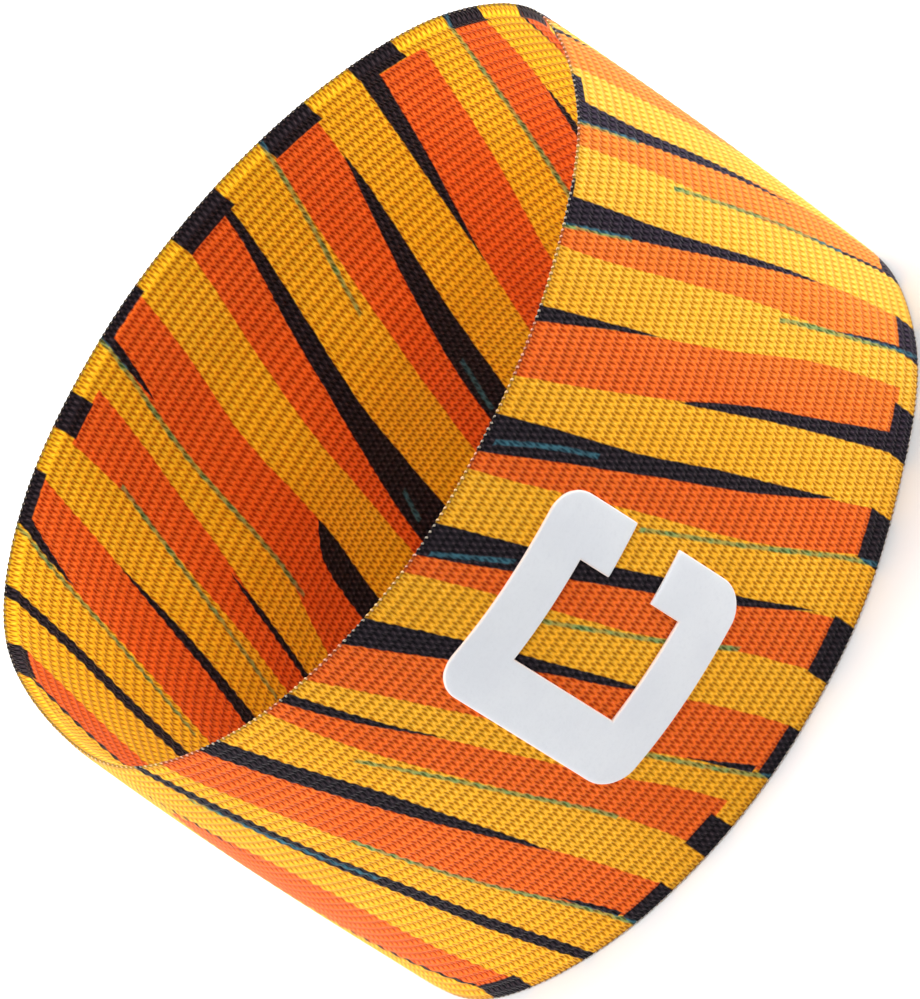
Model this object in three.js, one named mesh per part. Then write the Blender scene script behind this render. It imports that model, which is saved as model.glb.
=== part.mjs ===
// A captain's armband: a closed loop of elastic knit with a raised letter C.
// It stands on its lower edge. Millimetres, +Z up, the letter on the -Y side.
import * as THREE from 'three';
import { mergeVertices } from 'three/addons/utils/BufferGeometryUtils.js';

// Driving sizes of the band
const BAND_WIDTH = 75;
const HALF_LENGTH = 60.8;
const HALF_DEPTH = 43.4;
const FABRIC_THICKNESS = 1.2;

// Driving sizes of the letter
const LETTER_WIDTH = 34.1;
const LETTER_HEIGHT = 37.8;
const LETTER_STROKE = 8.6;
const LETTER_SPINE = 9.0;
const LETTER_GAP = 8.9;
const LETTER_CORNER = 5;
const LETTER_THICKNESS = 0.5;
const LETTER_CLEARANCE = 0.3;

// Where the letter's middle lies: a share of the way round the loop from +X, and a share of the band's width.
// It leans back by this share of its height, because the knit under it is a little askew.
const LETTER_PLACE = { round: 0.7338, level: 0.541, lean: 0.019 };

// How finely the surfaces are cut
const STEPS_ROUND = 144;
const STEPS_UP = 14;
const CURVE_STEPS = 24;
const LETTER_STEP = 2.4;
const CORNER_STEPS = 5;

// The oval at its foot, its middle and its top rim: each turn is an angle in degrees from +X,
// and the other columns are the reach there as a share of a true ellipse's
const OUTLINE = [
  { turn: 0, foot: 0.988, middle: 1.0, top: 0.992 },
  { turn: 25, foot: 0.95, middle: 0.97, top: 0.97 },
  { turn: 50, foot: 0.94, middle: 0.94, top: 0.94 },
  { turn: 75, foot: 0.95, middle: 0.95, top: 0.95 },
  { turn: 100, foot: 0.99, middle: 0.99, top: 0.99 },
  { turn: 125, foot: 1.03, middle: 1.03, top: 1.03 },
  { turn: 150, foot: 1.04, middle: 1.04, top: 1.03 },
  { turn: 180, foot: 1.03, middle: 1.03, top: 0.997 },
  { turn: 205, foot: 1.095, middle: 1.06, top: 1.05 },
  { turn: 230, foot: 1.075, middle: 1.07, top: 1.06 },
  { turn: 255, foot: 1.03, middle: 1.03, top: 1.02 },
  { turn: 280, foot: 0.968, middle: 0.97, top: 0.95 },
  { turn: 305, foot: 0.92, middle: 0.93, top: 0.92 },
  { turn: 332, foot: 0.95, middle: 0.955, top: 0.95 },
];

// How the three sections sit over each other: shares of the half length and the half depth
const SECTIONS = [
  { column: 'foot', level: 0, along: 0.01, depth: -0.077 },
  { column: 'middle', level: 0.5, along: 0.003, depth: -0.045 },
  { column: 'top', level: 1, along: 0, depth: 0 },
];

// Soft dents that press the wall inwards: the middle of each as shares of the way round and of the width,
// how far it reaches each way in the same shares, and its depth as a share of the half depth
const DENTS = [
  { round: 0.27, level: 0.43, reachRound: 0.2, reachLevel: 0.32, depth: 0.085 },
];

// One section of the band as a closed curve whose points run evenly round it
function sectionCurve(section) {
  const points = OUTLINE.map((row) => {
    const angle = THREE.MathUtils.degToRad(row.turn);
    const reach = row[section.column];
    return new THREE.Vector3(
      HALF_LENGTH * (section.along + reach * Math.cos(angle)),
      HALF_DEPTH * (section.depth + reach * Math.sin(angle)),
      BAND_WIDTH * section.level,
    );
  });
  const curve = new THREE.CatmullRomCurve3(points, true, 'catmullrom', 0.5);
  curve.arcLengthDivisions = OUTLINE.length * CURVE_STEPS;
  return curve;
}

const curves = SECTIONS.map(sectionCurve);
const loopLength = curves[1].getLength();

// A point of the smooth oval, from its share of the way round and its share of the width
function ovalPoint(round, level) {
  const share = ((round % 1) + 1) % 1;
  const [foot, middle, top] = curves.map((curve) => curve.getPointAt(share));
  return new THREE.Vector3()
    .addScaledVector(foot, (1 - level) * (1 - 2 * level))
    .addScaledVector(middle, 4 * level * (1 - level))
    .addScaledVector(top, level * (2 * level - 1))
    .setZ(BAND_WIDTH * level);
}

// The level direction that points out of the loop there
function outward(round, level) {
  const step = 1 / STEPS_ROUND / 2;
  const ahead = ovalPoint(round + step, level);
  const behind = ovalPoint(round - step, level);
  return new THREE.Vector3(ahead.y - behind.y, behind.x - ahead.x, 0).normalize();
}

// A smooth hump that is 1 at its middle and fades to 0 where the share away from it reaches 1
function hump(away) {
  return Math.abs(away) < 1 ? Math.cos(away * Math.PI / 2) ** 2 : 0;
}

function dentDepth(round, level) {
  return DENTS.reduce((sum, dent) => {
    const sideways = hump((round - dent.round) / dent.reachRound);
    const upright = hump((level - dent.level) / dent.reachLevel);
    return sum + HALF_DEPTH * dent.depth * sideways * upright;
  }, 0);
}

// A point at a height over the middle of the fabric
function liftedPoint(round, level, lift) {
  return ovalPoint(round, level).addScaledVector(outward(round, level), lift - dentDepth(round, level));
}

// A closed body from lists of points and triangles, with doubled points and collapsed triangles taken out
function closedBody(points, triangles) {
  const raw = new THREE.BufferGeometry().setFromPoints(points);
  raw.setIndex(triangles.flat());
  const merged = mergeVertices(raw, 1e-4);
  const index = merged.getIndex().array;
  const kept = [];
  for (let i = 0; i < index.length; i += 3) {
    const [a, b, c] = [index[i], index[i + 1], index[i + 2]];
    if (a !== b && b !== c && c !== a) kept.push(a, b, c);
  }
  merged.setIndex(kept);
  merged.computeVertexNormals();
  return merged;
}

// Two triangles over four points that run anticlockwise, seen from outside
function quad(a, b, c, d) {
  return [[a, b, c], [a, c, d]];
}

// The loop of knit: an outer and an inner wall joined by two flat rims
function makeBand() {
  const points = [];
  const triangles = [];
  const at = (side, up, round) => (side * (STEPS_UP + 1) + up) * STEPS_ROUND + (round % STEPS_ROUND);
  for (const side of [0.5, -0.5]) {
    for (let up = 0; up <= STEPS_UP; up += 1) {
      for (let round = 0; round < STEPS_ROUND; round += 1) {
        points.push(liftedPoint(round / STEPS_ROUND, up / STEPS_UP, side * FABRIC_THICKNESS));
      }
    }
  }
  for (let round = 0; round < STEPS_ROUND; round += 1) {
    const next = round + 1;
    for (let up = 0; up < STEPS_UP; up += 1) {
      triangles.push(...quad(at(0, up, round), at(0, up, next), at(0, up + 1, next), at(0, up + 1, round)));
      triangles.push(...quad(at(1, up, next), at(1, up, round), at(1, up + 1, round), at(1, up + 1, next)));
    }
    const rim = STEPS_UP;
    triangles.push(...quad(at(0, rim, round), at(0, rim, next), at(1, rim, next), at(1, rim, round)));
    triangles.push(...quad(at(1, 0, round), at(1, 0, next), at(0, 0, next), at(0, 0, round)));
  }
  return closedBody(points, triangles);
}

// The letter laid flat: pairs of points across its stroke, from the upper tip round to the lower one
function strokePairs() {
  const [halfWidth, halfHeight] = [LETTER_WIDTH / 2, LETTER_HEIGHT / 2];
  const [tipX, spineX] = [halfWidth - LETTER_STROKE, halfWidth - LETTER_SPINE];
  const insideY = halfHeight - LETTER_STROKE;
  const [cornerX, cornerY] = [halfWidth - LETTER_CORNER, halfHeight - LETTER_CORNER];
  const at = (x, y) => new THREE.Vector2(x, y);
  const pairs = [];
  const run = (outerFrom, outerTo, innerFrom, innerTo) => {
    const steps = Math.max(1, Math.ceil(outerFrom.distanceTo(outerTo) / LETTER_STEP));
    for (let i = 0; i <= steps; i += 1) {
      const share = i / steps;
      pairs.push([outerFrom.clone().lerp(outerTo, share), innerFrom.clone().lerp(innerTo, share)]);
    }
  };
  const corner = (signX, signY, startAngle) => {
    const inner = at(signX > 0 ? tipX : -spineX, signY * insideY);
    const middle = at(signX * cornerX, signY * cornerY);
    for (let i = 0; i <= CORNER_STEPS; i += 1) {
      const angle = startAngle + (i / CORNER_STEPS) * Math.PI / 2;
      const outer = at(Math.cos(angle), Math.sin(angle)).multiplyScalar(LETTER_CORNER).add(middle);
      pairs.push([outer, inner.clone()]);
    }
  };
  const tip = LETTER_GAP / 2;
  run(at(halfWidth, tip), at(halfWidth, cornerY), at(tipX, tip), at(tipX, insideY));
  corner(1, 1, 0);
  run(at(cornerX, halfHeight), at(-cornerX, halfHeight), at(tipX, insideY), at(-spineX, insideY));
  corner(-1, 1, Math.PI / 2);
  run(at(-halfWidth, cornerY), at(-halfWidth, -cornerY), at(-spineX, insideY), at(-spineX, -insideY));
  corner(-1, -1, Math.PI);
  run(at(-cornerX, -halfHeight), at(cornerX, -halfHeight), at(-spineX, -insideY), at(tipX, -insideY));
  corner(1, -1, Math.PI * 1.5);
  run(at(halfWidth, -cornerY), at(halfWidth, -tip), at(tipX, -insideY), at(tipX, -tip));
  return pairs;
}

// The letter as a thin plate that follows the outer face of the band
function makeLetter() {
  const under = FABRIC_THICKNESS / 2 + LETTER_CLEARANCE;
  const across = [0, 0.5, 1];
  const pairs = strokePairs();
  const points = [];
  for (const lift of [under + LETTER_THICKNESS, under]) {
    for (const [outer, inner] of pairs) {
      for (const share of across) {
        const flat = outer.clone().lerp(inner, share);
        const round = LETTER_PLACE.round + (flat.x - LETTER_PLACE.lean * flat.y) / loopLength;
        const level = LETTER_PLACE.level + flat.y / BAND_WIDTH;
        points.push(liftedPoint(round, level, lift));
      }
    }
  }
  const last = across.length - 1;
  const at = (side, station, column) => (side * pairs.length + station) * across.length + column;
  const triangles = [];
  for (let i = 0; i < pairs.length - 1; i += 1) {
    for (let c = 0; c < last; c += 1) {
      triangles.push(...quad(at(0, i, c), at(0, i + 1, c), at(0, i + 1, c + 1), at(0, i, c + 1)));
      triangles.push(...quad(at(1, i, c + 1), at(1, i + 1, c + 1), at(1, i + 1, c), at(1, i, c)));
    }
    triangles.push(...quad(at(1, i, 0), at(1, i + 1, 0), at(0, i + 1, 0), at(0, i, 0)));
    triangles.push(...quad(at(0, i, last), at(0, i + 1, last), at(1, i + 1, last), at(1, i, last)));
  }
  const end = pairs.length - 1;
  for (let c = 0; c < last; c += 1) {
    triangles.push(...quad(at(1, 0, c), at(0, 0, c), at(0, 0, c + 1), at(1, 0, c + 1)));
    triangles.push(...quad(at(1, end, c + 1), at(0, end, c + 1), at(0, end, c), at(1, end, c)));
  }
  return closedBody(points, triangles);
}

function piece(name, geometry, color, roughness) {
  const mesh = new THREE.Mesh(geometry, new THREE.MeshStandardMaterial({ color, roughness, metalness: 0 }));
  mesh.name = name;
  return mesh;
}

// The whole armband, moved so that the middle of its footprint is the origin
const armband = new THREE.Group();
armband.add(piece('band', makeBand(), 0xe8892b, 0.85));
armband.add(piece('captain_letter', makeLetter(), 0xdfe2e6, 0.5));
const box = new THREE.Box3().setFromObject(armband);
armband.position.set(-(box.min.x + box.max.x) / 2, -(box.min.y + box.max.y) / 2, -box.min.z);
armband.updateMatrixWorld(true);

export default armband;
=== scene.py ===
import math
import bpy
import numpy as np
from mathutils import Matrix, Vector


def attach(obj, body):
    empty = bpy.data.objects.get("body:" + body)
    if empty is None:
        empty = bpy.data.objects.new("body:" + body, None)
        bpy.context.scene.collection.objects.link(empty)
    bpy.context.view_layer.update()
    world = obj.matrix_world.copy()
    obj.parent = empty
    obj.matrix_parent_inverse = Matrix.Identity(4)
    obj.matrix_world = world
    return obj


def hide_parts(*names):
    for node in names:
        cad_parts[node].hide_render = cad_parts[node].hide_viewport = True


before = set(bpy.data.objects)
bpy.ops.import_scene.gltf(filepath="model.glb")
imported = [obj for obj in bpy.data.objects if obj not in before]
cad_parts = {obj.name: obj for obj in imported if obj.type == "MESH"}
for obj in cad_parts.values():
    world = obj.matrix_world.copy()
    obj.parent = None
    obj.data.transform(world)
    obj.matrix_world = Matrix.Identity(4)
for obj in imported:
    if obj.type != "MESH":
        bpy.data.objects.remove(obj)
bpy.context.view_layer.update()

# The band, with the sizes of its source. Lengths are in millimetres and become metres in each mesh.
BAND_WIDTH = 75.0
HALF_LENGTH = 60.8
HALF_DEPTH = 43.4
MM = 0.001

# The source's outline: turn in degrees, then the reach at the foot, the middle and the top rim
OUTLINE = [
    (0, 0.988, 1.0, 0.992), (25, 0.95, 0.97, 0.97), (50, 0.94, 0.94, 0.94), (75, 0.95, 0.95, 0.95),
    (100, 0.99, 0.99, 0.99), (125, 1.03, 1.03, 1.03), (150, 1.04, 1.04, 1.03), (180, 1.03, 1.03, 0.997),
    (205, 1.095, 1.06, 1.05), (230, 1.075, 1.07, 1.06), (255, 1.03, 1.03, 1.02), (280, 0.968, 0.97, 0.95),
    (305, 0.92, 0.93, 0.92), (332, 0.95, 0.955, 0.95),
]
# How the three sections sit over each other, and the soft dent in the back wall
SECTIONS = [(0.01, -0.077), (0.003, -0.045), (0.0, 0.0)]
DENT = {"round": 0.27, "level": 0.43, "reach_round": 0.2, "reach_level": 0.32, "depth": 0.085}
# The source moves the armband by this much to stand it on the origin
SHIFT = (0.8802, 2.2935)

# The knit: stitches round the loop, rows up the band, and two rows to a rib
STITCHES = 344
ROWS = 76
# How finely the two faces are cut, round the loop and up the band
COLUMNS = 300
FACE_STEPS = 152
# The faces stand this far off the middle of the fabric, start this far inside the rims, and meet in a
# rounded rim whose one row of points lies this far in
FACE_LIFT = 0.55
FACE_INSET = 0.3
RIM_INSET = 0.15
RIB_DEPTH = 0.24
# The two rows of a rib lie nearer the groove between them by this share of a rib
ROW_SHIFT = 0.075
# Painted light: round this stitch, at the narrow end, the print is painted paler for the strong light
# there, over this many stitches around it
PAINTED_GLARE_STITCH = 341.0
PAINTED_GLARE_REACH = 55.0
# Over this much next to a rim the knit gets thinner, until its outer and inner faces are at these lifts
TAPER_REACH = 2.5
RIM_LIFTS = (0.47, 0.17)

# The edge stitches: half the yarn's thickness, how far their arches stand inside the rim, between which
# angles an arch bends, and how finely it is cut
YARN_RADIUS = 0.06
ARCH_INSET = 0.29
ARCH_TURNS = (math.radians(-40), math.radians(220))
ARCH_STEPS = 9
YARN_SIDES = 6

# The letter, as in the source, and how far its film stands off the middle of the fabric
LETTER = {"width": 34.1, "height": 37.8, "stroke": 8.6, "spine": 9.0, "gap": 8.9, "corner": 5.0}
LETTER_PLACE = {"round": 0.7338, "level": 0.541, "lean": 0.019}
FILM_TOP = 1.02
FILM_FOOT = 0.5
# The film's stations along a stroke and in a corner, and how deep the ribs show through it
STROKE_STEP = 0.6
CORNER_STEPS = 14
FILM_RIB = 0.012

# The camera, at the photo's viewing angle
VIEW_DISTANCE = 1.2
VIEW_ELEVATION = math.radians(40.0)
VIEW_ROLL = math.radians(-56.13)
VIEW_TARGET = Vector((-0.0015198, 0.0018935, 0.0375))
LENS = 300.97

# The printed pattern. Places are millimetres round a loop of this length, heights are millimetres up
# the band.
CHART_LOOP = 333.85
# Orange bars: the left edge and the right edge, each as (height, place)
BARS = [
    (((75, -2.5), (60, 2.5), (40, 9), (20, 15.5), (0, 22)),
     ((72, 5.8), (60, 8.9), (40, 15.5), (20, 22), (0, 28.5))),
    (((72, 14), (60, 16.5), (55, 18.5), (43, 23), (20, 31), (0, 38)),
     ((71, 20.5), (62, 24), (52, 27), (42, 30), (32, 33), (0, 44))),
    (((71, 27), (60, 31.3), (50, 33.4), (40, 38), (30, 41.6), (25, 43.4), (0, 52)),
     ((71, 37), (60, 40.5), (50, 44), (40, 47.6), (32, 50), (22, 53.2), (16, 55.6), (0, 60.5))),
    (((71, 47.7), (65, 49.4), (60, 50.7), (50, 54.5), (40, 58.3), (30, 62), (20, 65.3), (10, 68), (0, 71)),
     ((71, 56.6), (60, 60.5), (50, 63.8), (40, 66.6), (30, 70), (20, 72.8), (10, 74.7), (0, 77.5))),
    (((71, 67), (60, 71), (50, 74.3), (40, 78.5), (30, 82.6), (20, 85), (12, 86.8), (0, 89.5)),
     ((71, 75.5), (65, 77.5), (60, 79), (50, 82.5), (40, 86.6), (35, 88.1), (30, 89.4), (20, 90.9),
      (10, 92.5), (0, 95))),
    (((73.4, 84.9), (65, 86.9), (60, 88.4), (55, 90), (50, 92.2), (45, 94.4), (40, 95.6), (30, 97.2),
      (20, 99.5), (10, 102.5), (0, 106)),
     ((73.4, 93.3), (60, 98.2), (50, 101.2), (40, 104.2), (30, 106.7), (23, 109), (20, 112.2), (12, 114.4),
      (0, 119))),
    (((71, 100), (65, 101.4), (60, 103), (55, 104.4), (50, 106.3), (45, 108.8), (40, 110), (35, 113.5),
      (30, 115.3), (20, 118), (0, 124.5)),
     ((71, 109), (65, 109.7), (60, 110.3), (55, 111.6), (50, 113.2), (45, 115.3), (40, 117.3), (35, 119.1),
      (30, 120.3), (20, 122.3), (0, 129))),
    (((73, 115.9), (65, 118.1), (60, 119.4), (55, 120.8), (50, 122.3), (40, 126), (30, 130), (0, 141)),
     ((73, 124), (65, 128), (60, 129.2), (55, 130.5), (50, 131.8), (45, 134.1), (40, 136.3), (32.5, 140),
      (0, 151.5))),
    (((71.5, 144.4), (70, 145), (65, 146.6), (60, 148.8), (55, 151.3), (50, 154.1), (30, 160.5),
      (0, 168.5)),
     ((71.5, 152.5), (65, 156.8), (61, 160.4), (50, 163.8), (40, 166.5), (20, 170.5), (0, 174))),
    (((59, 176.4), (50, 172.5), (40, 170.5), (30, 172), (24, 175), (20, 176.9), (15, 179.4), (10, 183),
      (4.5, 187.3)),
     ((59, 177.4), (55, 179.6), (50, 181.8), (45, 183.8), (40, 184.9), (35, 186), (30, 187), (25, 187.8),
      (20, 188.7), (15, 189.7), (10, 191.2), (4.5, 193.4))),
    (((75, 190.6), (70, 190.9), (65, 193), (60, 194.1), (55, 195.8), (50, 197.5), (45, 198.9), (40, 200),
      (35, 201.6), (30, 203.8), (25, 205.3), (20, 207.4), (15, 209.1), (10, 210.9), (2.6, 214)),
     ((75, 199.5), (60, 204.5), (50, 208), (40, 210.9), (30, 214), (20, 217), (15, 218.4), (10, 219.7),
      (2.6, 221.2))),
    (((75, 210.1), (70, 210.9), (65, 212), (60, 213), (55, 214.5), (50, 216.1), (45, 217.6), (40, 219.1),
      (35, 220.5), (30, 222.2), (25, 223.9), (20, 225.5), (15, 226.8), (10, 227.8), (4.5, 228.6)),
     ((75, 213.5), (60, 218), (50, 221.9), (45, 223.4), (40, 225), (35, 226.9), (30, 228.3), (25, 229.7),
      (20, 231.9), (15, 233.8), (10, 235.3), (4.5, 236.6))),
    (((75, 217.7), (70, 219.7), (65, 221.4), (60, 223.3), (55, 225), (50, 226.6), (40, 230), (30, 233.4),
      (20, 236.8), (15, 238.4), (10, 240.3), (2.3, 243)),
     ((75, 227.5), (60, 233), (50, 236.5), (40, 239.8), (30, 242.6), (22, 245.3), (15, 247.2), (10, 249.1),
      (2.3, 250.6))),
    (((75, 238.3), (70, 239.9), (65, 241.4), (60, 242.8), (50, 245.4), (45, 246.6), (40, 247.7),
      (35, 249.1), (31, 250.4), (22, 254.1), (15, 256), (10, 257.3), (4.5, 258.7)),
     ((75, 244), (60, 248.7), (50, 251.5), (40, 255.2), (30, 258.5), (22.5, 261), (15, 263.6), (8, 266.2),
      (4.5, 267))),
    (((75, 255.3), (70, 256.6), (65, 257.8), (60, 259.5), (55, 260.9), (50, 262.2), (45, 263.8), (40, 265),
      (35, 266.3), (30, 267.5), (25, 268.9), (20, 270.6), (15, 272.8), (10, 274.7), (4.5, 277)),
     ((75, 261), (60, 266), (50, 269), (40, 272.3), (30, 275.7), (20, 279), (12.5, 282), (4.5, 284.3))),
    (((75, 270), (70, 271.6), (65, 273.4), (60, 275.1), (55, 277.2), (50, 278.9), (47, 280.2), (40, 282.8),
      (30, 286.5), (20, 289.7), (10, 293.3), (4.5, 295)),
     ((75, 278.6), (70, 280.5), (65, 282.6), (60, 284.5), (55, 286.2), (50, 288), (45, 289.7), (40, 291.4),
      (35, 293.4), (30, 295.9), (25, 297.8), (20, 299.7), (15, 300.9), (10, 302.5), (4.5, 303.8))),
    (((75, 290.3), (70, 291.1), (65, 292.4), (60, 294.1), (55, 295.6), (50, 297), (45, 298.6), (40, 300.1),
      (35, 301.6), (30, 302.8), (25, 303.8), (20, 304.9), (15, 306.6), (10, 308.1), (4.3, 310.1)),
     ((75, 296), (60, 300), (50, 303), (40, 306.3), (30, 309.6), (20, 312.8), (15, 314.1), (10, 315.1),
      (4.3, 316.2))),
    (((75, 306.3), (70, 307.5), (65, 308.9), (60, 310.2), (55, 311.3), (50, 312.2), (45, 313.4),
      (40, 314.7), (35, 315.9), (30, 317.4), (25, 319.1), (20, 320.5), (15, 322), (10, 323.7),
      (4.5, 325.5), (0, 326.5)),
     ((75, 312.5), (60, 315.8), (50, 319), (40, 322), (30, 325.5), (20, 328.2), (10, 330.2),
      (0, 332.6))),
    (((75, 320.8), (70, 322.2), (65, 323.4), (60, 324.4), (55, 325.6), (50, 326.9), (45, 328.4), (30, 333),
      (0, 343.5)),
     ((75, 328.2), (70, 329.9), (66, 331.4), (60, 333.6), (50, 337), (40, 340.5), (20, 347), (0, 353))),
]
# Black wedges and lines: (height, left edge, right edge); a wedge is pointed where the edges meet
WEDGES = [
    ((75, 4.8, 5.6), (72.5, 5.5, 6.2), (60, 8.9, 8.9)),
    ((55, 18.6, 18.6), (50, 19.7, 20.5), (45, 21.1, 22.4), (42.5, 22.2, 23.4), (30, 26, 27.5), (0, 36, 38)),
    ((75, 33.9, 37.3), (71.3, 35.3, 38.5), (60, 39.4, 42), (50, 43.1, 45.1), (40, 47.2, 48.1),
     (32.5, 50, 50)),
    ((64, 49.5, 49.5), (60, 50, 51.4), (50, 53.1, 55.8), (40, 56.8, 59.9), (30, 59.8, 64.4),
     (20, 62.5, 68.1), (10, 65.3, 70), (0, 67.8, 72.5)),
    ((75, 65.6, 67), (70, 66.4, 67.8), (65, 68, 69.5), (60, 69.9, 71.9), (50, 72.5, 76), (40, 76.6, 80.2),
     (35, 79, 82.5), (30, 80.6, 84.7), (20, 81.9, 88), (12.5, 83.8, 89.7), (7, 84.7, 91.2), (0, 86, 93)),
    ((28, 98, 98), (27.5, 97.8, 98.4), (25, 98.3, 101.5), (23, 98.7, 103), (20, 99.3, 103.8),
     (15, 100.5, 104.9), (10, 101.8, 106.1), (0, 104.6, 108.8)),
    ((75, 91.8, 93.3), (73.4, 92.4, 93.8), (70, 93, 94.7), (65, 94.9, 96.1), (62, 96.5, 96.5)),
    ((37.5, 112.6, 112.6), (35, 113.3, 114.3), (30, 114.7, 116.1), (25, 116.3, 117.3), (20, 117.5, 118.6),
     (15.6, 118.4, 119.5), (0, 123.5, 125)),
    ((75, 121, 123.5), (73, 122.5, 125), (70, 124.7, 126.4), (65, 126.6, 127.5), (62.5, 128, 128)),
    ((56, 120.5, 120.5), (50, 121.9, 122.7), (45, 123.4, 124.9), (40, 125.1, 126.9), (35, 126.8, 128.6),
     (30, 128.8, 130.9), (24, 130, 133), (0, 137, 142)),
    ((75, 133.8, 135.9), (70, 135.3, 137.2), (65, 135.8, 137.8), (60, 136.6, 138.8), (55, 138.1, 140.6),
     (50, 140, 142.5), (45, 141.3, 144.1), (40, 143, 145.6), (20, 149, 152), (0, 156, 159)),
    ((75, 149, 150.2), (73, 150, 151.2), (70, 152.2, 154), (65, 156.6, 158.4), (61, 159.7, 161.5),
     (50, 163.2, 164.6), (38, 168, 168)),
    ((68, 176, 176), (62, 178.4, 179.1), (55, 179.3, 180), (50, 180, 180.6), (44, 181.5, 181.5)),
    ((24, 175.1, 175.1), (21, 176.2, 177), (18, 177.5, 178.3), (14, 179.6, 180.4), (10, 182.4, 183.3),
     (4.4, 186.8, 187.8)),
    ((75, 185.6, 187), (70, 186.4, 188.1), (65, 186.8, 189), (60, 187.5, 189.7), (55, 188.6, 190.9),
     (50, 190, 191.9), (45, 190.9, 193.3), (40, 192.5, 195), (35, 194.1, 196.6), (30, 195.5, 198.1),
     (25, 196.9, 199.4), (20, 198, 200.6), (15, 199.4, 201.9), (10, 200.9, 203.4), (6.3, 202.2, 204.7),
     (2.2, 203.4, 205.6), (0, 204, 206)),
    ((75, 197.8, 201.6), (70, 199.4, 203.3), (65, 200.9, 204.7), (60, 202.8, 206.4), (55, 204.6, 208.1),
     (50, 206.3, 210), (45, 208.1, 210.9), (40, 209.8, 211.9), (35, 211.6, 213.3), (30, 213.3, 214.7),
     (25, 215.1, 215.8), (21.3, 216.2, 216.2)),
    ((16, 209.9, 209.9), (10, 211.4, 212.5), (6.3, 212.6, 213.6), (3.8, 213.2, 214.2)),
    ((75, 212.7, 214.6), (70, 213.9, 215.9), (65, 215.9, 217.2), (60, 217.6, 218.6), (55, 219.6, 220.2),
     (50, 222, 222)),
    ((75, 225, 230), (70, 227.2, 231.6), (65, 229.1, 233.3), (60, 231.3, 235), (55, 233.3, 236.4),
     (50, 235.3, 237.8), (45, 237.5, 239.2), (40, 239.1, 240.5), (35, 240.5, 241.9), (31, 241.8, 242.8),
     (27.5, 243.5, 243.5)),
    ((15, 238.6, 238.6), (10, 239.9, 240.6), (6.3, 241.1, 242.2), (3.8, 241.9, 243.1)),
    ((75, 241.3, 246.6), (70, 242.8, 247.8), (65, 244.7, 249.4), (60, 246.6, 250.9), (50.6, 250, 252.8),
     (45, 252.4, 255.3), (40, 253.8, 256.6), (37.5, 254.7, 257.5), (22.5, 260.2, 261.6), (20, 261.1, 262.4),
     (15, 263.1, 264.1), (10, 265.6, 266.1), (8, 266.4, 266.4)),
    ((75, 258, 264.1), (70, 259.9, 265.3), (65, 261.9, 266.9), (60, 263.9, 268), (55, 265.3, 269.1),
     (50, 267.5, 270.3), (45, 269.3, 271.9), (40, 270.9, 273.8), (35, 272.5, 275.3), (30, 274.5, 276.9),
     (25, 276.3, 278.1), (20, 278.4, 279.7), (15, 280.5, 281.3), (12.5, 282, 282)),
    ((46, 280.3, 280.3), (45, 280.5, 281.1), (40, 282.2, 283.4), (35, 283.8, 285.6), (30, 285.6, 287.5),
     (25, 287.2, 289.3), (20, 288.8, 290.6), (15, 290.1, 292.8), (10, 291.9, 294.7), (6.3, 292.8, 295.9),
     (4, 293.5, 296.7)),
    ((75, 278.4, 280.9), (70, 280.3, 282.2), (65, 282.5, 283.8), (60, 284.4, 285.1), (55, 286.1, 286.6),
     (52.5, 287.2, 287.2)),
    ((20, 305, 305), (15, 306.8, 307.4), (10, 308.1, 308.9), (6.3, 309.4, 310.1), (4, 310, 310.8)),
    ((75, 293.6, 298.1), (70, 295, 299.4), (65, 296.8, 300.5), (60, 298.4, 301.4), (55, 300.1, 302.6),
     (50, 301.9, 304.1), (45, 303.9, 305.5), (40, 305.5, 307), (35, 307.2, 308.6), (30, 309.3, 310),
     (25, 310.8, 311.3), (22, 311.8, 311.8)),
    ((25, 319.5, 319.5), (20, 320.4, 321), (15, 321.9, 322.5), (10, 323.5, 324.3), (4.2, 325.3, 326.1)),
    ((4.6, 325.5, 325.5), (3, 325.7, 328.4), (1.75, 325.7, 331.2), (0, 325.4, 335.5)),
    ((75, 310.3, 314.4), (70, 311.6, 315.3), (65, 313.1, 315.9), (60, 314.7, 316.9), (55, 316.3, 318.4),
     (50, 317.8, 320), (45, 319.5, 321.1), (40, 321.1, 322.4), (35, 322.8, 323.6), (30, 324.1, 324.7),
     (25, 325.2, 325.2)),
    ((75, 328.2, 329.5), (71, 329.5, 330.4), (64, 332.2, 332.2)),
]
# Black blocks along the two rims: left edge, right edge, and the height where the block ends
TOP_BLOCKS = [
    (-1, 5.3, 72.7), (13.5, 20.3, 72), (30, 38.2, 71.3), (46.8, 56.2, 71.1), (65.6, 75.5, 70.8),
    (84, 92.4, 73.4), (102.2, 108.1, 71), (115, 123.8, 73.1), (144.3, 150.6, 71.5), (294, 301, 74.4),
    (314.4, 319.3, 73.2),
]
FOOT_BLOCKS = [
    (187.4, 194.4, 4.4), (213.6, 221.3, 3), (228.1, 233.9, 5), (242.5, 250.6, 2.7), (258.4, 267.4, 4.7),
    (276.6, 284.4, 4.7), (293.4, 301.3, 4.7), (309.7, 316.3, 4.6),
]
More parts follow.
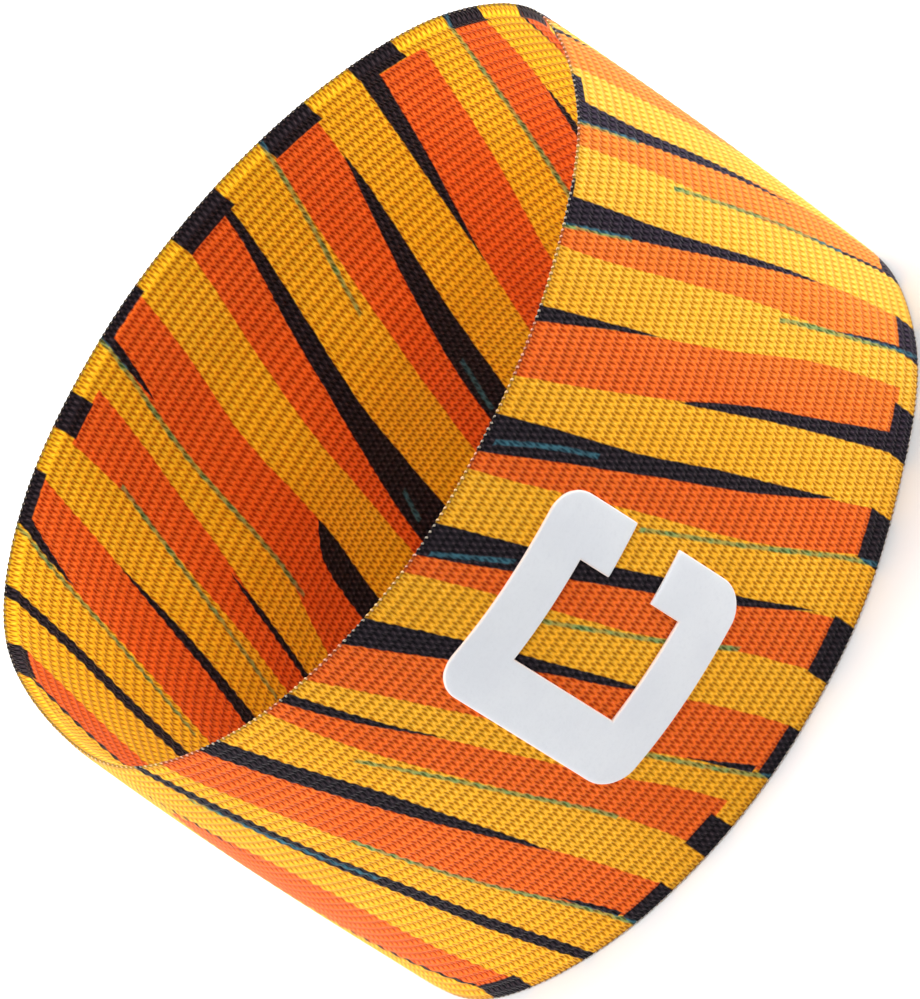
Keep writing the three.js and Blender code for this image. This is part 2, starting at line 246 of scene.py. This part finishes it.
# Thin lines, green on the bright colours and teal on the black: (height, place)
LINES = [
    ((75, 19.5), (70, 21), (62, 24), (52, 27), (42, 30), (32, 33), (0, 44)),
    ((75, 55.7), (71, 56.6), (60.5, 60.5), (51, 64.6), (42, 68.2)),
    ((75, 93.5), (70, 94.9), (65, 96.4), (60, 98.4), (55, 100), (50, 101.4), (45, 103.1), (40, 104.5),
     (35, 105.9), (30, 106.9), (25, 108.8), (22.8, 109)),
    ((60, 110.1), (55, 111.6), (50, 113.4), (45, 115.8), (40, 118.3), (35, 120.3), (30, 122.5), (25, 123.9),
     (20.6, 125.2)),
    ((75, 124.3), (70, 126.8), (65, 128.4), (60, 129.5), (55, 130.9), (50, 133), (45, 135), (40, 137.5),
     (36, 139.4)),
    ((65, 186.3), (50, 190), (47, 191.5), (35, 195.5)),
    ((45, 199), (35, 202), (30, 203.6), (25, 205.5), (20, 207.4), (15, 209.4), (10, 211.3), (6.3, 212.5),
     (2.2, 213.3), (0, 213.9)),
    ((58, 211.5), (50, 214.9), (45, 216.9), (40, 218.4), (35, 220.3), (30, 221.9), (25, 223.9), (20, 225.5),
     (17.8, 225.9)),
    ((25, 234.5), (21.5, 235.6), (15, 237.8), (10, 239.4), (6.3, 240.6), (2.2, 242.2), (0, 243)),
    ((52, 242.8), (50, 243.3), (45, 245.3), (40, 247), (35, 248.6), (31, 250), (21.9, 253.8), (18, 255.4)),
    ((44, 261.5), (40, 263.1), (35, 264.8), (30, 266.4), (25, 268.3), (20, 270.3), (15, 272.2), (10, 274.3),
     (6.3, 275.6), (2.2, 276.9), (0, 277.6)),
    ((31, 301), (25, 303.8), (20, 304.4), (15, 306.4), (10, 308.1), (6.3, 309.4), (2.2, 310.6), (0, 311.2)),
    ((55, 310), (50, 311.6), (45, 313.1), (40, 315), (35, 316.3), (30, 318.4), (20, 320.6), (15, 322.2)),
    ((22.5, 65), (10.6, 68.8)),
    ((15, 86.6), (8.8, 89)),
    ((73, 242.5), (60, 248.1)),
    ((73, 260.5), (65, 264.4), (60, 265.8), (56, 266.9)),
    ((75, 293.4), (62, 297.8)),
    ((75, 310.2), (62, 314)),
]
LINE_HALF_WIDTH = 0.38
# Each orange bar ends this far under the black block at its end
BAR_LAP = 0.3


# One section of the source's oval as a fine closed line and the length along it
def section_line(column, steps=24):
    along, depth = SECTIONS[column]
    corners = []
    for row in OUTLINE:
        angle = math.radians(row[0])
        reach = row[1 + column]
        x = HALF_LENGTH * (along + reach * math.cos(angle))
        corners.append((x, HALF_DEPTH * (depth + reach * math.sin(angle))))
    corners = np.array(corners)
    t = np.linspace(0, 1, steps, endpoint=False)[:, None]
    runs = []
    for i in range(len(corners)):
        a, b, c, d = (corners[(i + k) % len(corners)] for k in (-1, 0, 1, 2))
        bend = (2 * a - 5 * b + 4 * c - d) * t ** 2 + (3 * b - a - 3 * c + d) * t ** 3
        runs.append(b + 0.5 * ((c - a) * t + bend))
    line = np.vstack(runs + [runs[0][:1]])
    length = np.r_[0, np.cumsum(np.linalg.norm(np.diff(line, axis=0), axis=1))]
    return line, length


SECTION_LINES = [section_line(column) for column in range(3)]
LOOP = SECTION_LINES[1][1][-1]


# A point of the smooth oval, from its share of the way round and its share of the width
def oval(turn, level):
    places = []
    for line, length in SECTION_LINES:
        at = (turn % 1.0) * length[-1]
        places.append(np.stack([np.interp(at, length, line[:, k]) for k in range(2)], -1))
    shares = [(1 - level) * (1 - 2 * level), 4 * level * (1 - level), level * (2 * level - 1)]
    return sum(share[..., None] * place for share, place in zip(shares, places))


def hump(away):
    return np.where(np.abs(away) < 1, np.cos(np.clip(away, -1, 1) * np.pi / 2) ** 2, 0.0)


# Points at a height over the middle of the fabric, from arrays of one shape
def surface(turn, level, lift):
    step = 1 / 288
    ahead, behind = oval(turn + step, level), oval(turn - step, level)
    out = np.stack([ahead[..., 1] - behind[..., 1], behind[..., 0] - ahead[..., 0]], -1)
    out /= np.linalg.norm(out, axis=-1, keepdims=True)
    dent = HALF_DEPTH * DENT["depth"] * hump((turn - DENT["round"]) / DENT["reach_round"])
    dent = dent * hump((level - DENT["level"]) / DENT["reach_level"])
    flat = oval(turn, level) + out * (lift - dent)[..., None] + np.array(SHIFT)
    return np.concatenate([flat, (BAND_WIDTH * level)[..., None]], -1)


def new_object(name, points, faces):
    mesh = bpy.data.meshes.new(name)
    mesh.from_pydata((points.reshape(-1, 3) * MM).tolist(), [], faces)
    mesh.polygons.foreach_set("use_smooth", np.full(len(mesh.polygons), True))
    mesh.update()
    piece = bpy.data.objects.new(name, mesh)
    bpy.context.scene.collection.objects.link(piece)
    return piece


def set_corners(piece, name, values, kind="FLOAT_VECTOR"):
    layer = piece.data.attributes.new(name, kind, "CORNER")
    layer.data.foreach_set("vector", np.ascontiguousarray(values, dtype=np.float32).ravel())


def set_points(piece, name, values):
    layer = piece.data.attributes.new(name, "FLOAT", "POINT")
    layer.data.foreach_set("value", np.ascontiguousarray(values, dtype=np.float32).ravel())


# Where a charted edge lies at each height, on a smooth line through its points
def edge_at(rows, height):
    heights, places = np.array(sorted(rows), dtype=float).T
    for _ in range(2):
        share = (heights[1:-1] - heights[:-2]) / (heights[2:] - heights[:-2])
        straight = places[:-2] * (1 - share) + places[2:] * share
        places[1:-1] += 0.5 * (straight - places[1:-1])
    slopes = np.gradient(places, heights)
    i = np.clip(np.searchsorted(heights, height) - 1, 0, len(heights) - 2)
    gap = heights[i + 1] - heights[i]
    free = (height - heights[i]) / gap
    t = np.clip(free, 0, 1)
    bend = (2 * t ** 3 - 3 * t ** 2 + 1) * places[i] + (3 * t ** 2 - 2 * t ** 3) * places[i + 1]
    bend += gap * ((t ** 3 - 2 * t ** 2 + t) * slopes[i] + (t ** 3 - t ** 2) * slopes[i + 1])
    return bend + (free - t) * gap * np.where(free < 0, slopes[i], slopes[i + 1])


# How far a point of the band lies inside a printed form: from its left edge, its right edge and its ends
def inside_form(form, place, height, lap=0.0):
    left, right = form
    levels = [h for h, _ in (*left, *right)]
    low, high = min(levels), max(levels)
    low = -10 if low <= 0 else low - lap
    high = BAND_WIDTH + 10 if high >= BAND_WIDTH else high + lap
    ends = np.minimum(height - low, high - height)
    return np.stack([place - edge_at(left, height), edge_at(right, height) - place, ends], -1)


# For each face the nearest printed form, measured at the face's corners, so that edges stay crisp
def print_layer(forms, place, height, lap=0.0):
    middle_place, middle_height = place.mean(1), height.mean(1)
    best = np.full(len(place), -1e9)
    values = np.full(place.shape + (3,), -50.0)
    for form in forms:
        for shift in (-CHART_LOOP, 0, CHART_LOOP):
            score = inside_form(form, middle_place + shift, middle_height, lap).min(-1)
            better = score > best
            best[better] = score[better]
            values[better] = inside_form(form, place[better] + shift, height[better], lap)
    return values


def wedge_edges(rows):
    return [(h, a) for h, a, b in rows], [(h, b) for h, a, b in rows]


def block_edges(left, right, low, high):
    return [(low, left), (high, left)], [(low, right), (high, right)]


def line_edges(rows):
    return [(h, u - LINE_HALF_WIDTH) for h, u in rows], [(h, u + LINE_HALF_WIDTH) for h, u in rows]


def add_print(piece, place, height):
    blocks = [block_edges(a, b, end, BAND_WIDTH) for a, b, end in TOP_BLOCKS]
    blocks += [block_edges(a, b, 0, end) for a, b, end in FOOT_BLOCKS]
    set_corners(piece, "orange", print_layer(BARS, place, height, BAR_LAP))
    set_corners(piece, "wedge", print_layer([wedge_edges(rows) for rows in WEDGES], place, height))
    set_corners(piece, "block", print_layer(blocks, place, height))
    set_corners(piece, "line", print_layer([line_edges(rows) for rows in LINES], place, height))


# The band as one closed skin: outer face, top rim, inner face, lower rim
def make_band():
    heights = np.linspace(FACE_INSET, BAND_WIDTH - FACE_INSET, FACE_STEPS + 1)
    rib = RIB_DEPTH * 0.5 * np.cos(heights / BAND_WIDTH * ROWS * np.pi)
    near = hump(np.clip(np.minimum(heights, BAND_WIDTH - heights) / TAPER_REACH, 0, 1))
    outer = (FACE_LIFT + rib) * (1 - near) + RIM_LIFTS[0] * near
    inner = (-FACE_LIFT - rib) * (1 - near) + RIM_LIFTS[1] * near
    up = np.r_[RIM_INSET, heights, BAND_WIDTH - RIM_INSET, heights[::-1]]
    middle = sum(RIM_LIFTS) / 2
    lift = np.r_[middle, outer, middle, inner[::-1]]
    count = len(up)
    turn = np.arange(COLUMNS) / COLUMNS
    turns, levels = np.meshgrid(turn, up / BAND_WIDTH, indexing="ij")
    points = surface(turns, levels, np.broadcast_to(lift, turns.shape))
    column, row = (a.ravel() for a in np.meshgrid(np.arange(COLUMNS), np.arange(count), indexing="ij"))
    corner_column = np.stack([column, column + 1, column + 1, column], 1)
    corner_row = np.stack([row, row, row + 1, row + 1], 1)
    faces = (corner_column % COLUMNS) * count + corner_row % count
    band = new_object("knit_band", points, faces.tolist())
    around = corner_column / COLUMNS
    height = up[corner_row % count]
    # The bake map lays the two faces, one after the other, in three strips
    half = count // 2
    side = (row >= half)[:, None]
    # The knit of the inner face is the mirror image of the outer one's, so its stitches count backwards
    stitch = around * STITCHES * np.where(side, -1, 1)
    set_corners(band, "Knit", np.stack([stitch, height / BAND_WIDTH * ROWS], -1), "FLOAT2")
    share_up = np.where(side, count - corner_row, corner_row) / half
    along = (side + around) * 1.5
    strip = np.floor((side[:, 0] + (column + 0.5) / COLUMNS) * 1.5)[:, None]
    bake = np.stack([(along - strip) * 0.99 + 0.005, (strip + share_up * 0.98 + 0.01) / 3], -1)
    set_corners(band, "OFBake", bake, "FLOAT2")
    add_print(band, around * CHART_LOOP, height)
    return band


# The edge stitches of one rim: a row of yarn arches from the outer face over the rim to the inner face
def make_selvedge(name, top):
    rng = np.random.default_rng(7 if top else 11)
    index = np.arange(STITCHES)

    def each_stitch(low, high):
        return rng.uniform(low, high, (STITCHES, 1, 1))

    bend = np.linspace(*ARCH_TURNS, ARCH_STEPS)[None, :, None]
    tube = np.linspace(0, 2 * np.pi, YARN_SIDES, endpoint=False)[None, None, :]
    middle = sum(RIM_LIFTS) / 2
    reach = each_stitch(0.1, 0.16)
    lean = each_stitch(0.06, 0.16)
    lift = middle + (reach + YARN_RADIUS * np.cos(tube)) * np.cos(bend)
    rise = (each_stitch(0.15, 0.22) + YARN_RADIUS * np.cos(tube)) * np.sin(bend)
    sideways = each_stitch(0.14, 0.21) * np.sin(tube) + lean * np.cos(bend)
    turn = (index[:, None, None] + 0.5) / STITCHES + sideways / LOOP
    height = BAND_WIDTH - ARCH_INSET + rise if top else ARCH_INSET - rise
    turn, height, lift = np.broadcast_arrays(turn, height, lift)
    points = surface(turn, height / BAND_WIDTH, lift)
    grid = np.meshgrid(index, np.arange(ARCH_STEPS - 1), np.arange(YARN_SIDES), indexing="ij")
    stitch, step, side = (a.ravel() for a in grid)

    def point(step, side):
        return (stitch * ARCH_STEPS + step) * YARN_SIDES + side % YARN_SIDES

    quads = [point(step, side), point(step, side + 1), point(step + 1, side + 1), point(step + 1, side)]
    faces = np.stack(quads if top else quads[::-1], 1)
    piece = new_object(name, points, faces.tolist())
    share = np.linspace(0, 1, ARCH_STEPS)[:, None]
    set_points(piece, "over", np.broadcast_to(share, (STITCHES, ARCH_STEPS, YARN_SIDES)))
    place = np.repeat(((stitch + 0.5) / STITCHES * CHART_LOOP)[:, None], 4, 1)
    add_print(piece, place, np.full_like(place, BAND_WIDTH - 0.5 if top else 0.5))
    return piece


# The letter's stroke laid flat: stations of an outer and an inner point, from the upper tip to the lower
def stroke_stations():
    half_width, half_height = LETTER["width"] / 2, LETTER["height"] / 2
    tip_x, spine_x = half_width - LETTER["stroke"], half_width - LETTER["spine"]
    inside_y = half_height - LETTER["stroke"]
    corner = LETTER["corner"]
    corner_x, corner_y = half_width - corner, half_height - corner
    tip = LETTER["gap"] / 2
    pairs = []

    def run(outer_from, outer_to, inner_from, inner_to):
        length = math.dist(outer_from, outer_to)
        for share in np.linspace(0, 1, max(2, int(length / STROKE_STEP))):
            outer = np.array(outer_from) * (1 - share) + np.array(outer_to) * share
            inner = np.array(inner_from) * (1 - share) + np.array(inner_to) * share
            pairs.append((outer, inner))

    def turn_corner(sign_x, sign_y, start):
        inner = np.array((tip_x if sign_x > 0 else -spine_x, sign_y * inside_y))
        for share in np.linspace(0, 1, CORNER_STEPS):
            angle = start + share * math.pi / 2
            middle = np.array((sign_x * corner_x, sign_y * corner_y))
            pairs.append((middle + corner * np.array((math.cos(angle), math.sin(angle))), inner))

    run((half_width, tip), (half_width, corner_y), (tip_x, tip), (tip_x, inside_y))
    turn_corner(1, 1, 0)
    run((corner_x, half_height), (-corner_x, half_height), (tip_x, inside_y), (-spine_x, inside_y))
    turn_corner(-1, 1, math.pi / 2)
    run((-half_width, corner_y), (-half_width, -corner_y), (-spine_x, inside_y), (-spine_x, -inside_y))
    turn_corner(-1, -1, math.pi)
    run((-corner_x, -half_height), (corner_x, -half_height), (-spine_x, -inside_y), (tip_x, -inside_y))
    turn_corner(1, -1, math.pi * 1.5)
    run((half_width, -corner_y), (half_width, -tip), (tip_x, -inside_y), (tip_x, -tip))
    # Where a straight run meets a corner the same station comes twice, and one of them goes
    kept = [pairs[0]]
    for pair in pairs[1:]:
        if not np.allclose(pair, kept[-1]):
            kept.append(pair)
    return np.array(kept)


# The letter as a film pressed on to the knit, with softly rounded edges
def make_letter():
    pairs = stroke_stations()
    count = len(pairs)
    top = np.r_[0.0, 0.008, 0.03, np.linspace(0.08, 0.92, 20), 0.97, 0.992, 1.0]
    fall = np.r_[0.16, 0.06, 0.015, np.zeros(20), 0.015, 0.06, 0.16]
    ends = np.zeros(count)
    ends[[0, -1]] = 0.14
    ends[[1, -2]] = 0.02
    across = np.r_[top, top[::-1]]
    lift_across = np.r_[FILM_TOP - fall, np.full(len(top), FILM_FOOT)]
    flat = pairs[:, :1] * (1 - across)[None, :, None] + pairs[:, 1:] * across[None, :, None]
    turn = LETTER_PLACE["round"] + (flat[..., 0] - LETTER_PLACE["lean"] * flat[..., 1]) / LOOP
    level = LETTER_PLACE["level"] + flat[..., 1] / BAND_WIDTH
    lift = np.broadcast_to(lift_across, turn.shape) - ends[:, None] * (lift_across > 0.7)
    rib = FILM_RIB * np.cos(level * ROWS * np.pi) * (lift > 0.9)
    points = surface(turn, level, lift + rib)
    width = len(across)
    i, j = (a.ravel() for a in np.meshgrid(np.arange(count - 1), np.arange(width), indexing="ij"))

    def point(i, j):
        return i * width + j % width

    faces = np.stack([point(i, j), point(i + 1, j), point(i + 1, j + 1), point(i, j + 1)], 1).tolist()
    faces.append(list(range(width)))
    faces.append([(count - 1) * width + j for j in range(width - 1, -1, -1)])
    piece = new_object("letter_film", points, faces)
    near = np.clip((FILM_TOP - 0.01 - lift_across) / 0.12, 0, 1)
    set_points(piece, "edge", np.broadcast_to(near, turn.shape))
    return piece


# A material's nodes, written as small calls that give back their output
class Nodes:
    def __init__(self, name):
        self.material = bpy.data.materials.new(name)
        self.material.use_nodes = True
        self.tree = self.material.node_tree
        self.shader = self.tree.nodes["Principled BSDF"]

    def put(self, socket, value):
        if isinstance(value, bpy.types.NodeSocket):
            self.tree.links.new(value, socket)
        elif isinstance(value, tuple) and len(value) == 3 and socket.type == "RGBA":
            socket.default_value = (*value, 1.0)
        else:
            socket.default_value = value

    def math(self, operation, *values):
        node = self.tree.nodes.new("ShaderNodeMath")
        node.operation = operation
        for socket, value in zip(node.inputs, values):
            self.put(socket, value)
        return node.outputs[0]

    def mix(self, share, first, second, blend="MIX"):
        node = self.tree.nodes.new("ShaderNodeMix")
        node.data_type = "RGBA"
        node.blend_type = blend
        self.put(node.inputs["Factor"], share)
        self.put(node.inputs["A"], first)
        self.put(node.inputs["B"], second)
        return node.outputs["Result"]

    # 0 below the first value and 1 above the second, with a smooth rise between
    def rise(self, value, low, high, to_low=0.0, to_high=1.0):
        node = self.tree.nodes.new("ShaderNodeMapRange")
        node.interpolation_type = "SMOOTHSTEP"
        names = ("Value", "From Min", "From Max", "To Min", "To Max")
        for name, setting in zip(names, (value, low, high, to_low, to_high)):
            self.put(node.inputs[name], setting)
        return node.outputs["Result"]

    def attribute(self, name):
        node = self.tree.nodes.new("ShaderNodeAttribute")
        node.attribute_name = name
        return node.outputs

    def split(self, vector):
        node = self.tree.nodes.new("ShaderNodeSeparateXYZ")
        self.put(node.inputs[0], vector)
        return node.outputs

    def join(self, x, y, z=0.0):
        node = self.tree.nodes.new("ShaderNodeCombineXYZ")
        for socket, value in zip(node.inputs, (x, y, z)):
            self.put(socket, value)
        return node.outputs[0]

    def noise(self, vector, scale, detail, roughness):
        node = self.tree.nodes.new("ShaderNodeTexNoise")
        self.put(node.inputs["Vector"], vector)
        self.put(node.inputs["Scale"], scale)
        self.put(node.inputs["Detail"], detail)
        self.put(node.inputs["Roughness"], roughness)
        return node.outputs["Fac"]

    def random(self, vector):
        node = self.tree.nodes.new("ShaderNodeTexWhiteNoise")
        self.put(node.inputs["Vector"], vector)
        return node.outputs["Value"]

    def place(self):
        return self.tree.nodes.new("ShaderNodeTexCoord").outputs["Object"]

    def bump(self, height, distance):
        node = self.tree.nodes.new("ShaderNodeBump")
        self.put(node.inputs["Height"], height)
        self.put(node.inputs["Distance"], distance)
        self.put(node.inputs["Strength"], 1.0)
        return node.outputs["Normal"]

    def finish(self, **sockets):
        for name, value in sockets.items():
            self.put(self.shader.inputs[name.replace("_", " ")], value)
        return self.material


# The printed colour at a point. Luck roughens the print's edges; the gap mask gives the gaps between
# stitches, painted dark as painted shade; the lump mask gives the thread of a stitch, with a painted
# highlight on it;
# patchy is a slow change of tone; inner is 1 on the inner face; and the last mask is 1 at the armband's
# narrow
# end, where the print is painted paler: painted light for the strong light there.
def printed_color(n, luck, gap, lump_and_highlight, patchy, inner, painted_glare):
    def inside(name, soften=0.15):
        a, b, c = n.split(n.attribute(name)["Vector"])
        depth = n.math("MINIMUM", n.math("MINIMUM", a, b), c)
        ragged = n.math("ADD", depth, n.math("MULTIPLY", n.math("SUBTRACT", luck, 0.5), 0.16))
        return n.rise(ragged, -soften, soften)

    share = n.rise(patchy, 0.3, 0.7)
    amber = n.mix(share, (0.84, 0.375, 0.013), (0.90, 0.43, 0.020))
    # The inner face gets a yellower copy of the amber: painted light for the warmer light inside the loop
    amber = n.mix(inner, amber, n.mix(share, (0.84, 0.45, 0.009), (0.90, 0.51, 0.015)))
    orange = n.mix(share, (0.76, 0.122, 0.010), (0.82, 0.146, 0.014))
    # Painted light: at the narrow end the colours, their gaps and the black are painted paler
    amber = n.mix(painted_glare, amber, (0.87, 0.48, 0.045))
    orange = n.mix(painted_glare, orange, (0.82, 0.26, 0.025))
    is_orange = inside("orange")
    bright = n.mix(is_orange, amber, orange)
    # Painted shade: in the gaps between stitches the print, the black and the lines are painted darker
    amber_gap_shade = n.mix(painted_glare, (0.46, 0.155, 0.004), (0.62, 0.26, 0.008))
    orange_gap_shade = n.mix(painted_glare, (0.43, 0.035, 0.002), (0.58, 0.10, 0.007))
    bright = n.mix(gap, bright, n.mix(is_orange, amber_gap_shade, orange_gap_shade))
    # Painted highlight on the thread of each stitch, on the bright colours and on the black
    bright = n.mix(n.math("MULTIPLY", lump_and_highlight, 0.62), bright, n.mix(1.0, bright, (1.16, 1.5, 5.0), "MULTIPLY"))
    dark = n.mix(gap, (0.014, 0.010, 0.014), (0.003, 0.002, 0.004))
    dark = n.mix(n.math("MULTIPLY", lump_and_highlight, 0.6), dark, (0.08, 0.055, 0.065))
    dark = n.mix(n.math("MULTIPLY", painted_glare, 0.35), dark, n.mix(1.0, dark, (2.6, 2.4, 4.0), "MULTIPLY"))
    black = n.math("MAXIMUM", inside("wedge"), inside("block"))
    green = n.mix(gap, (0.19, 0.29, 0.09), (0.04, 0.10, 0.025))
    teal = n.mix(gap, (0.04, 0.13, 0.17), (0.015, 0.05, 0.075))
    color = n.mix(black, bright, dark)
    strength = n.math("MULTIPLY", inside("line", 0.2), n.rise(luck, 0.0, 1.0, 0.6, 1.0))
    return n.mix(strength, color, n.mix(black, green, teal))


def knit_material():
    n = Nodes("printed_knit")
    x, y, _ = n.split(n.attribute("Knit")["Vector"])
    # The gaps between stitches, sunk in the relief and painted dark as painted shade: upright, in rows, the
    # next row half a stitch along and overlapping it
    gaps, lucks = [], []
    for shift, middle in ((0.0, 0.25 + ROW_SHIFT), (0.5, 0.75 - ROW_SHIFT)):
        across = n.math("ADD", x, shift)
        up = n.math("SUBTRACT", n.math("MULTIPLY", y, 0.5), middle)
        stitch, row = n.math("ROUND", across), n.math("ROUND", up)
        across = n.math("SUBTRACT", across, stitch)
        up = n.math("MULTIPLY", n.math("SUBTRACT", up, row), 2.0)
        luck = n.random(n.join(stitch, row, shift))
        wide = n.math("ABSOLUTE", n.math("DIVIDE", across, n.rise(luck, 0.0, 1.0, 0.17, 0.23)))
        wide = n.math("POWER", wide, 2.0)
        tall = n.math("POWER", n.math("ABSOLUTE", n.math("DIVIDE", up, 0.76)), 2.0)
        gaps.append(n.rise(n.math("ADD", wide, tall), 1.2, 0.05))
        lucks.append(luck)
    gap = n.math("MAXIMUM", *gaps)
    luck = n.math("MULTIPLY", n.math("ADD", *lucks), 0.5)
    groove_shade = n.math("MULTIPLY", n.math("COSINE", n.math("MULTIPLY", y, math.pi)), 0.5)
    groove_shade = n.math("SUBTRACT", 0.5, groove_shade)
    place = n.place()
    patchy = n.noise(place, 45.0, 3.0, 0.6)
    fine = n.noise(place, 2600.0, 2.0, 0.6)
    fibre = n.noise(n.join(n.math("MULTIPLY", x, 5.0), n.math("MULTIPLY", y, 1.4)), 1.0, 2.0, 0.6)
    wave = n.math("COSINE", n.math("MULTIPLY", x, 2 * math.pi))
    rows = n.math("COSINE", n.math("MULTIPLY", n.math("SUBTRACT", y, 0.5), math.pi))
    wave = n.math("MULTIPLY", wave, rows)
    # The thread of each stitch: raised in the bump and given a painted highlight in the colour
    lump_and_highlight = n.math("MULTIPLY", n.rise(wave, -0.15, -0.85), n.rise(fibre, 0.35, 0.62, 0.15, 1.0))
    # Painted light: at the armband's narrower end the print is painted paler on the outer face,
    # for the strong light there
    before = n.math("ABSOLUTE", n.math("SUBTRACT", x, PAINTED_GLARE_STITCH))
    after = n.math("ADD", x, STITCHES - PAINTED_GLARE_STITCH)
    inner = n.math("LESS_THAN", x, 0.0)
    painted_glare = n.rise(n.math("MINIMUM", before, after), PAINTED_GLARE_REACH, 4.0)
    painted_glare = n.math("MULTIPLY", painted_glare, n.math("SUBTRACT", 1.0, inner))
    color = printed_color(n, luck, gap, lump_and_highlight, patchy, inner, painted_glare)
    tone = n.math("ADD", n.rise(luck, 0.0, 1.0, 0.94, 1.06), n.rise(fine, 0.2, 0.8, -0.06, 0.06))
    # Painted shade in the grooves between the ribs and a painted highlight on their crests
    tone = n.math("MULTIPLY", tone, n.rise(groove_shade, 0.0, 1.0, 1.06, 0.87))
    # Painted shade: the knit is painted darker along each rim, under the edge stitches
    rim = n.math("MINIMUM", y, n.math("SUBTRACT", ROWS, y))
    tone = n.math("MULTIPLY", tone, n.rise(rim, 0.2, 0.75, 0.25, 1.0))
    color = n.mix(1.0, color, n.join(tone, tone, tone), "MULTIPLY")
    height = n.math("ADD", n.math("MULTIPLY", fine, 0.25), n.math("MULTIPLY", lump_and_highlight, 0.5))
    height = n.math("SUBTRACT", height, gap)
    rough = n.rise(fine, 0.2, 0.8, 0.78, 0.92)
    return n.finish(
        Base_Color=color, Roughness=rough, Normal=n.bump(height, 0.00007),
        Sheen_Weight=0.25, Sheen_Roughness=0.3, Specular_IOR_Level=0.08,
    )


def selvedge_material():
    n = Nodes("edge_yarn")
    place = n.place()
    fine = n.noise(place, 3800.0, 3.0, 0.6)
    patchy = n.noise(place, 45.0, 3.0, 0.6)
    yarn = n.mix(n.rise(fine, 0.3, 0.7), (0.26, 0.215, 0.16), (0.66, 0.57, 0.44))
    over = n.math("ABSOLUTE", n.math("SUBTRACT", n.attribute("over")["Fac"], 0.64))
    color = n.mix(0.45, yarn, printed_color(n, 0.5, n.rise(fine, 0.6, 0.3), 0.0, patchy, 0.0, 0.0))
    shade = n.rise(over, 0.06, 0.17, 0.1, 1.0)
    color = n.mix(1.0, color, n.join(shade, shade, shade), "MULTIPLY")
    return n.finish(
        Base_Color=color, Roughness=n.rise(fine, 0.2, 0.8, 0.7, 0.9), Normal=n.bump(fine, 0.00006),
        Sheen_Weight=0.1, Sheen_Roughness=0.5, Specular_IOR_Level=0.15,
    )


def film_material():
    n = Nodes("transfer_film")
    place = n.place()
    edge = n.attribute("edge")["Fac"]
    fine = n.noise(place, 1900.0, 2.0, 0.5)
    patchy = n.noise(place, 70.0, 3.0, 0.55)
    color = n.mix(n.rise(patchy, 0.3, 0.7), (0.665, 0.69, 0.735), (0.715, 0.74, 0.775))
    color = n.mix(n.rise(fine, 0.45, 0.8, 0.0, 0.25), color, (0.605, 0.625, 0.675))
    color = n.mix(n.math("MULTIPLY", edge, 0.85), color, (0.95, 0.74, 0.62))
    return n.finish(
        Base_Color=color, Roughness=n.rise(patchy, 0.3, 0.7, 0.42, 0.55), Normal=n.bump(fine, 0.00002),
        Specular_IOR_Level=0.4,
    )


def floor_material():
    n = Nodes("pale_floor")
    place = n.place()
    patchy = n.noise(place, 8.0, 2.0, 0.5)
    x, y, _ = n.split(place)
    # Painted pool of light: the floor is paler round the armband and darker further out
    away = n.math("SQRT", n.math("ADD", n.math("POWER", x, 2.0), n.math("POWER", y, 2.0)))
    near = n.mix(patchy, (0.67, 0.67, 0.67), (0.70, 0.70, 0.70))
    color = n.mix(n.rise(away, 0.09, 0.24), near, (0.40, 0.40, 0.40))
    return n.finish(Base_Color=color, Roughness=0.9)


def add_light(name, place, aim, size, power):
    data = bpy.data.lights.new(name, "AREA")
    data.shape = "RECTANGLE"
    data.size, data.size_y = size
    data.energy = power
    light = bpy.data.objects.new(name, data)
    light.location = place
    light.rotation_euler = (Vector(aim) - Vector(place)).to_track_quat("-Z", "Y").to_euler()
    bpy.context.scene.collection.objects.link(light)


def add_camera():
    data = bpy.data.cameras.new("camera")
    data.lens = LENS
    data.sensor_width = 36.0
    data.clip_start = 0.05
    data.clip_end = 10.0
    camera = bpy.data.objects.new("camera", data)
    back = Vector((0.0, -math.cos(VIEW_ELEVATION), math.sin(VIEW_ELEVATION)))
    right = Vector((1.0, 0.0, 0.0))
    up = back.cross(right)
    axes = Matrix((right, up, back)).transposed().to_4x4()
    roll = Matrix.Rotation(VIEW_ROLL, 4, "Z")
    camera.matrix_world = Matrix.Translation(VIEW_TARGET + back * VIEW_DISTANCE) @ axes @ roll
    bpy.context.scene.collection.objects.link(camera)
    bpy.context.scene.camera = camera


add_camera()
band = make_band()
band.data.materials.append(knit_material())
top_edge = make_selvedge("upper_selvedge", True)
foot_edge = make_selvedge("lower_selvedge", False)
yarn = selvedge_material()
for piece in (top_edge, foot_edge):
    piece.data.materials.append(yarn)
letter = make_letter()
letter.data.materials.append(film_material())
for piece in (band, top_edge, foot_edge, letter):
    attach(piece, "root")
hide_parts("band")
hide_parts("captain_letter")

floor_mesh = bpy.data.meshes.new("floor")
floor_mesh.from_pydata([(-2, -2, 0), (2, -2, 0), (2, 2, 0), (-2, 2, 0)], [], [(0, 1, 2, 3)])
floor = bpy.data.objects.new("floor", floor_mesh)
bpy.context.scene.collection.objects.link(floor)
floor_mesh.materials.append(floor_material())

add_light("left_softbox", (-0.85, 0.0, 0.55), (0, 0, 0.03), (0.8, 0.8), 14.0)
add_light("right_softbox", (0.9, -0.1, 0.34), (0, 0, 0.03), (0.8, 0.5), 11.3)
add_light("top_softbox", (0.0, 0.1, 1.1), (0, 0, 0), (1.0, 1.0), 14.5)
add_light("back_softbox", (0.0, 0.8, 0.8), (0, 0, 0.03), (0.8, 0.8), 13.0)

world = bpy.data.worlds.new("world")
bpy.context.scene.world = world
world.use_nodes = True
world.node_tree.nodes["Background"].inputs["Color"].default_value = (1, 1, 1, 1)
world.node_tree.nodes["Background"].inputs["Strength"].default_value = 0.12
bpy.context.scene.view_settings.view_transform = "Standard"
